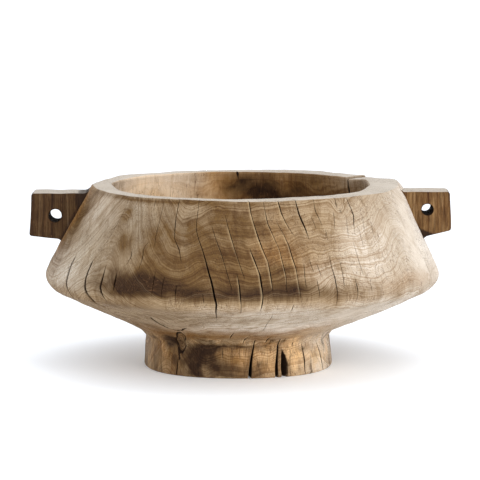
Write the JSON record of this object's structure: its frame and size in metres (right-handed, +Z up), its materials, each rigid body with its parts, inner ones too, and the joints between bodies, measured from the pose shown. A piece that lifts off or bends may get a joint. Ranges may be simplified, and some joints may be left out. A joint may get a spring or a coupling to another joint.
{
  "type": "footed wooden bowl",
  "caption": "Wide round bowl on a solid foot, carved from a block of wood, with a pierced slab lug at each side, for display or for holding fruit and dry goods.",
  "frame": {"origin": "on the resting plane, under the middle of the overall outline", "axes": "+Z up out of the mouth, +X along the line through the two lugs towards the lug with the higher hole, -Y towards the front, where the foot is split"},
  "size_m": [0.502, 0.4694, 0.216],
  "materials": {
    "body_wood": "matt pale brown hardwood with drying checks, weathered pale on top, brown in the hollow",
    "foot_wood": "matt mid-brown hardwood, stained dark at the front, with open splits",
    "lug_wood": "matt dark brown hardwood with upright streaks, pale on top",
    "knot_wood": "dark dead knot, matt"
  },
  "bodies": {
    "root": {"bowl_body": "body_wood", "foot": "foot_wood", "lug_left": "lug_wood", "lug_right": "lug_wood", "foot_knot": "knot_wood"}
  },
  "joints": []
}
